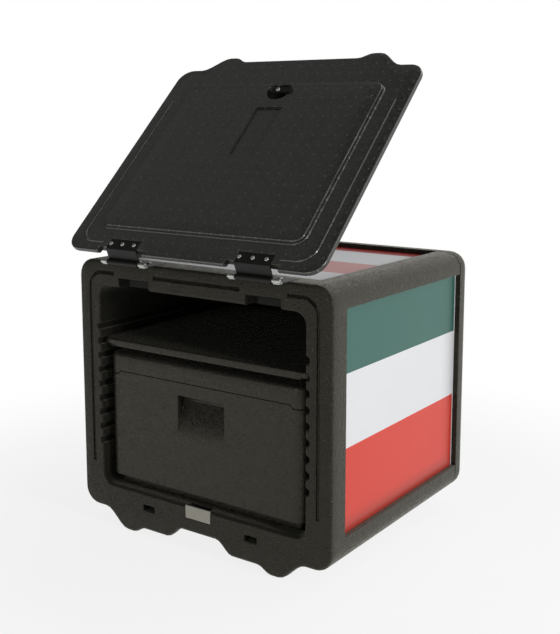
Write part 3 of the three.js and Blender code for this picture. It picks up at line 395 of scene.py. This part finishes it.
# Joins the flat faces, but not across the planes of the cells
def joinFlats(shape, points, cell):
    kept = shape.edges.layers.int.new("kept")
    for axis, place in cellPlanes(points, cell):
        normal = Vector([float(axis == number) for number in range(3)])
        made = bmesh.ops.bisect_plane(
            shape, geom=shape.verts[:] + shape.edges[:] + shape.faces[:], dist=easing["cutDistance"],
            plane_co=normal * place, plane_no=normal)
        for part in made["geom_cut"]:
            if isinstance(part, bmesh.types.BMEdge):
                part[kept] = 1
    loose = [part for part in shape.edges if not part[kept]]
    bmesh.ops.dissolve_limit(
        shape, angle_limit=math.radians(easing["flatAngle"]), verts=shape.verts, edges=loose)


# Marks the sharp edges whose middle lies in the region, which are the ones to ease
def markSharp(shape, region):
    weight = shape.edges.layers.float.new("bevel_weight_edge")
    low, high = region
    for part in shape.edges:
        if part.calc_face_angle(0) > math.radians(easing["sharpAngle"]):
            middle = (part.verts[0].co + part.verts[1].co) / 2
            part[weight] = float(all(low[axis] < middle[axis] < high[axis] for axis in range(3)))


# A copy of a CAD node with its flat faces joined and its sharp edges eased
def eased(node, values, look, body):
    points, triangles = mergedMesh(nodes[node].data)
    piece = addPiece(node + "_eased", points, triangles, look, body, node, easing["smoothAngle"])
    shape = bmesh.new()
    shape.from_mesh(piece.data)
    joinFlats(shape, points, values.get("cell"))
    markSharp(shape, values.get("region", everywhere))
    shape.to_mesh(piece.data)
    shape.free()
    edge = piece.modifiers.new("edge", "BEVEL")
    edge.width = values["edge"]
    edge.segments = easing["segments"]
    edge.limit_method = "WEIGHT"
    edge.use_clamp_overlap = False
    edge.harden_normals = True


# A turned piece: rows of (height, radius, sixth) swept round an axis. The point of a row at angle a is
# centre + height * axis + radius * (cos a * side + sin a * other side). Where sixth is 1 the radius is
# divided by the cosine of a folded into 60 degrees, which makes that row a hexagon. The slant is any
# direction that no axis has, and the sharp angle is in degrees.
turning = {"slant": (1.0, 0.3, 0.2), "sharpAngle": 35}


def turned(name, values, look, body, node):
    rows = np.array(values["rows"])
    axis = np.array(values["axis"], float) / np.linalg.norm(values["axis"])
    side = np.cross(axis, turning["slant"])
    side /= np.linalg.norm(side)
    other = np.cross(axis, side)
    count = values["sides"]
    angle = np.linspace(0, 2 * math.pi, count, endpoint=False)
    folded = angle % (math.pi / 3) - math.pi / 6
    inner = rows[1:-1]
    radius = inner[:, 1:2] * (1 + inner[:, 2:3] * (1 / np.cos(folded) - 1))
    ring = np.cos(angle)[:, None] * side + np.sin(angle)[:, None] * other
    rings = inner[:, None, 0:1] * axis + radius[..., None] * ring[None]
    poles = rows[[0, -1], 0:1] * axis
    points = np.concatenate([poles[:1], rings.reshape(-1, 3), poles[1:]]) + np.array(values["centre"])
    step = np.arange(count)
    after = (step + 1) % count
    level = 1 + count * np.arange(len(inner) - 1)[:, None]
    walls = np.stack([level + step, level + after, level + count + after, level + count + step], -1)
    top = 1 + count * (len(inner) - 1)
    foot = np.stack([np.zeros(count, int), 1 + after, 1 + step], -1)
    cap = np.stack([top + step, top + after, np.full(count, len(points) - 1)], -1)
    faces = foot.tolist() + walls.reshape(-1, 4).tolist() + cap.tolist()
    addPiece(name, points, faces, look, body, node, turning["sharpAngle"])


# The rows of a pan-head screw or rivet, from its tip to the middle of its head. Radii are shares of the
# shank, the head or the socket, and rises are shares of the head's height.
headShape = {"tip": 0.6, "tipSlope": 0.4, "foot": 0.96, "footRise": 0.12, "domeFoot": 0.985, "domeRise": 0.35,
             "crown": 0.35, "domeShares": (0.3, 0.5, 0.7, 0.85, 0.95)}
socketShape = {"rim": 1.22, "wallRise": 0.97, "floor": 0.97, "drillDrop": 0.3}
dimpleShape = {"rim": 0.24, "floor": 0.16, "wallRise": 0.86, "floorRise": 0.84}


def headRows(values):
    length, rise = values["length"], values["headHeight"]
    shank, head = values["shankRadius"], values["headRadius"]
    shape = headShape
    rows = [(-length, 0, 0), (-length, shank * shape["tip"], 0),
            (-length + shank * shape["tipSlope"], shank, 0), (0, shank, 0), (0, head * shape["foot"], 0),
            (rise * shape["footRise"], head, 0), (rise * shape["domeRise"], head * shape["domeFoot"], 0)]
    for share in shape["domeShares"]:
        angle = share * math.pi / 2
        height = shape["domeRise"] + (1 - shape["domeRise"]) * math.sin(angle)
        radius = shape["crown"] + (shape["domeFoot"] - shape["crown"]) * math.cos(angle)
        rows.append((rise * height, head * radius, 0))
    if "socketRadius" in values:
        socket, floorHeight = values["socketRadius"], rise * values["socketFloor"]
        return rows + [(rise, socket * socketShape["rim"], 0), (rise * socketShape["wallRise"], socket, 1),
                       (floorHeight, socket * socketShape["floor"], 1),
                       (floorHeight - socket * socketShape["drillDrop"], 0, 0)]
    return rows + [(rise, head * dimpleShape["rim"], 0),
                   (rise * dimpleShape["wallRise"], head * dimpleShape["floor"], 0),
                   (rise * dimpleShape["floorRise"], 0, 0)]


foamCell = 0.030
# At both ends of the shelf's lip two roundings would meet, so the shelf is eased between them only
shelfMiddle = ((-0.185, -1, -1), (0.185, 1, 1))
shelfValues = {"edge": 0.0008, "cell": foamCell, "region": shelfMiddle}
eased("body_shell", {"edge": 0.0011, "cell": foamCell}, bodyFoam, "box")
eased("rear_cap", {"edge": 0.0008, "cell": foamCell}, bodyFoam, "box")
eased("door_panel", {"edge": 0.0006, "cell": foamCell}, doorFoam, "door")
eased("shelf", shelfValues, shelfFoam, "shelf")
eased("inner_box_tub", {"edge": 0.0015, "cell": foamCell}, innerFoam, "inner_box")
eased("inner_box_lid", {"edge": 0.0008, "cell": foamCell}, innerFoam, "inner_lid")
print("foam pieces made")

# The open door: its hinge axis, how far its edge and its inner face lie from the axis, and the direction
# out of the inner face
doorFrame = {"axisY": -0.255, "axisZ": 0.4825, "edgeDrop": 0.00535, "faceOffset": 0.0215}
doorUp = (0, -math.sin(doorLean), math.cos(doorLean))


# A place on the door: across, away from the hinge edge, above the inner face
def doorPoint(across, away, above):
    reach = doorFrame["edgeDrop"] + away
    height = doorFrame["faceOffset"] + above
    return (across, doorFrame["axisY"] + reach * math.cos(doorLean) - height * math.sin(doorLean),
            doorFrame["axisZ"] + reach * math.sin(doorLean) + height * math.cos(doorLean))


rivet = {"length": 0.0089, "shankRadius": 0.0023, "headRadius": 0.0036, "headHeight": 0.0015, "sides": 28,
         "spacing": 0.0258, "shift": -0.0035, "away": 0.018, "above": -0.0011}
clampScrew = {"length": 0.0328, "shankRadius": 0.0016, "headRadius": 0.0038, "headHeight": 0.0016, "sides": 36,
              "socketRadius": 0.0017, "socketFloor": 0.3, "spacing": 0.022, "depth": -0.2165, "height": 0.4798}
capScrew = {"length": 0.048, "shankRadius": 0.0025, "headRadius": 0.0065, "headHeight": 0.0040, "sides": 48,
            "socketRadius": 0.0026, "socketFloor": 0.45, "depth": 0.2268, "across": 0.2365,
            "heights": (0.059, 0.453)}
camScrew = {"length": 0.0002, "shankRadius": 0.0003, "headRadius": 0.0040, "headHeight": 0.0014, "sides": 36,
            "socketRadius": 0.0017, "socketFloor": 0.45, "away": 0.378, "above": 0.0085}
# The pin's heads: pairs of how far along the head, from its outer end, and how much of its radius
pin = {"half": 0.0493, "radius": 0.0024, "headRadius": 0.0032, "headLength": 0.0015, "sides": 28,
       "headShares": ((1, 0.97), (0.9, 1), (0.35, 1), (0.1, 0.9), (0, 0.7), (0, 0))}
hinge = {"middle": 0.135, "steelEdge": 0.0004, "blockEdge": 0.0008, "cell": 0.012}


# The rows of the pin, one end and its mirror image
def pinRows():
    end = [(pin["half"] - pin["headLength"], pin["radius"], 0)]
    for back, share in pin["headShares"]:
        end.append((pin["half"] - pin["headLength"] * back, pin["headRadius"] * share, 0))
    return [(-height, radius, sixth) for height, radius, sixth in reversed(end)] + end


def hingePieces(side, middle):
    name = f"hinge_{side}_"
    for number in (1, 2, 3):
        across = middle + rivet["shift"] + (number - 2) * rivet["spacing"]
        turned(f"{name}rivet_{number}_head",
               {"rows": headRows(rivet), "axis": doorUp, "sides": rivet["sides"],
                "centre": doorPoint(across, rivet["away"], rivet["above"])},
               zincSteel, "door", f"{name}rivet_{number}")
    for number in (1, 2):
        across = middle + (number - 1) * clampScrew["spacing"]
        turned(f"{name}screw_{number}_head",
               {"rows": headRows(clampScrew), "axis": (0, 0, 1), "sides": clampScrew["sides"],
                "centre": (across, clampScrew["depth"], clampScrew["height"])},
               zincSteel, "box", f"{name}screw_{number}")
    turned(f"{name}pin_turned",
           {"rows": pinRows(), "axis": (1, 0, 0), "sides": pin["sides"],
            "centre": (middle, doorFrame["axisY"], doorFrame["axisZ"])},
           zincSteel, "box", f"{name}pin")
    steel = {"edge": hinge["steelEdge"], "cell": hinge["cell"]}
    block = {"edge": hinge["blockEdge"], "cell": hinge["cell"]}
    eased(f"{name}leaf", steel, blackSteel, "door")
    eased(f"{name}bracket", steel, bracketSteel, "box")
    eased(f"{name}clamp_block", block, blackPlastic, "box")


hingePieces("left", -hinge["middle"])
hingePieces("right", hinge["middle"])
capPlaces = [(sign * capScrew["across"], height) for sign in (-1, 1) for height in capScrew["heights"]]
for number, (across, height) in enumerate(capPlaces, 1):
    turned(f"rear_cap_screw_{number}_head",
           {"rows": headRows(capScrew), "axis": (0, 1, 0), "sides": capScrew["sides"],
            "centre": (across, capScrew["depth"], height)},
           zincSteel, "box", f"rear_cap_screw_{number}")
turned("latch_cam_screw_head",
       {"rows": headRows(camScrew), "axis": doorUp, "sides": camScrew["sides"],
        "centre": doorPoint(0, camScrew["away"], camScrew["above"])},
       zincSteel, "latch", "latch_cam_screw")
eased("latch_bush", {"edge": 0.0004}, blackPlastic, "door")
eased("latch_knob", {"edge": 0.0005}, blackPlastic, "latch")
eased("latch_cam", {"edge": 0.0004}, blackSteel, "latch")
eased("keeper_plate", {"edge": 0.0005}, palePaint, "box")
finishes = {"print_panel_left": sideSheet, "print_panel_right": sideSheet, "print_panel_top": topSheet,
            "keeper_bar": blackSteel}
for name, look in finishes.items():
    nodes[name].data.materials.clear()
    nodes[name].data.materials.append(look)
print("pieces made")

# Camera, from the edges of the box in the photograph: angles in degrees, lengths of the image in pixels,
# and the sensor in millimetres
cameraValues = {"place": (1.0231, -1.4489, 0.7304), "yaw": 35.11, "pitch": 8.40, "focus": 999.09,
                "imageHeight": 634, "centreRow": 260, "sensor": 36}
yaw = math.radians(cameraValues["yaw"])
pitch = math.radians(cameraValues["pitch"])
ahead = Vector((-math.sin(yaw) * math.cos(pitch), math.cos(yaw) * math.cos(pitch), -math.sin(pitch)))
right = Vector((math.cos(yaw), math.sin(yaw), 0))
upward = right.cross(ahead)
camera = bpy.data.objects.new("camera", bpy.data.cameras.new("camera"))
bpy.context.scene.collection.objects.link(camera)
turn = Matrix((right, upward, -ahead)).transposed().to_4x4()
camera.matrix_world = Matrix.Translation(cameraValues["place"]) @ turn
imageHeight = cameraValues["imageHeight"]
camera.data.sensor_width = cameraValues["sensor"]
camera.data.lens = cameraValues["focus"] * cameraValues["sensor"] / imageHeight
camera.data.shift_y = (cameraValues["centreRow"] - imageHeight / 2) / imageHeight
bpy.context.scene.camera = camera
bpy.context.scene.view_settings.view_transform = "Standard"

# Floor: a matt floor to the lamps, and near white to the camera and in mirrors. Close to the object a
# little of the matt floor is mixed in, which shows the object's shadow.
floorValues = {"half": 60, "matt": 0.80, "near": 0.45, "far": 1.1, "nearWhite": 0.84}
half = floorValues["half"]
floorMesh = bpy.data.meshes.new("floor")
floorCorners = [(-half, -half, 0), (half, -half, 0), (half, half, 0), (-half, half, 0)]
floorMesh.from_pydata(floorCorners, [], [(0, 1, 2, 3)])
floor = bpy.data.objects.new("floor", floorMesh)
bpy.context.scene.collection.objects.link(floor)
floorGraph = Graph("floor")
rays = [floorGraph.add("ShaderNodeLightPath", output=name)
        for name in ("Is Camera Ray", "Is Glossy Ray", "Is Transmission Ray")]
seen = (rays[0] + rays[1] + rays[2]).clamped()
away = floorGraph.add("ShaderNodeVectorMath", {"operation": "LENGTH"}, [floorGraph.here()], "Value")
matt = floorGraph.add("ShaderNodeBsdfDiffuse", None, {"Color": grey(floorValues["matt"])})
white = floorGraph.add("ShaderNodeEmission", None, {"Color": grey(1.0), "Strength": 1.0})
gain = away.smooth(floorValues["near"], floorValues["far"]) * (1 - floorValues["nearWhite"])
whiteness = seen * (gain + floorValues["nearWhite"])
blend = floorGraph.add("ShaderNodeMixShader", None, [whiteness, matt, white])
floorMesh.materials.append(floorGraph.close(blend))

# World: white to the camera, and to the object a weak even light that is stronger from behind
studio = {"soft": 0.06, "behind": 0.95, "behindFrom": (0.50, 0.85, 0.12), "behindSpread": 0.85, "plain": 1.0}
world = bpy.data.worlds.new("studio")
bpy.context.scene.world = world
world.use_nodes = True
sky = Graph("sky", world)
rays = [sky.add("ShaderNodeLightPath", output=name) for name in ("Is Camera Ray", "Is Transmission Ray")]
behindFrom = Vector(studio["behindFrom"]).normalized()
toward = sky.add("ShaderNodeVectorMath", {"operation": "DOT_PRODUCT"}, [sky.here(), behindFrom], "Value")
light = toward.smooth(0.0, studio["behindSpread"]) * studio["behind"] + studio["soft"]
soft = sky.add("ShaderNodeBackground", None, [grey(1.0), light])
plain = sky.add("ShaderNodeBackground", None, [grey(1.0), studio["plain"]])
seen = (rays[0] + rays[1]).clamped()
sky.close(sky.add("ShaderNodeMixShader", None, [seen, soft, plain]))

# Area lamps, square, with their side in metres and their power in watts
lamps = {
    "key": {"place": (2.95, -0.42, 1.15), "aim": (0.1, -0.05, 0.3), "side": 0.65, "power": 42},
    "front": {"place": (-0.4, -3.5, 0.9), "aim": (0, 0, 0.3), "side": 1.2, "power": 12.5},
    "above": {"place": (0.9, 1.8, 2.5), "aim": (0, 0, 0.4), "side": 1.6, "power": 8},
    "left": {"place": (-2.2, -0.5, 3.0), "aim": (0, 0, 0.5), "side": 2.4, "power": 1.8}}
for name, values in lamps.items():
    lamp = bpy.data.lights.new(name, "AREA")
    lamp.shape = "SQUARE"
    lamp.size = values["side"]
    lamp.energy = values["power"]
    holder = bpy.data.objects.new(name, lamp)
    holder.location = values["place"]
    aim = Vector(values["aim"]) - Vector(values["place"])
    holder.rotation_euler = aim.to_track_quat("-Z", "Y").to_euler()
    bpy.context.scene.collection.objects.link(holder)
print("stage made")
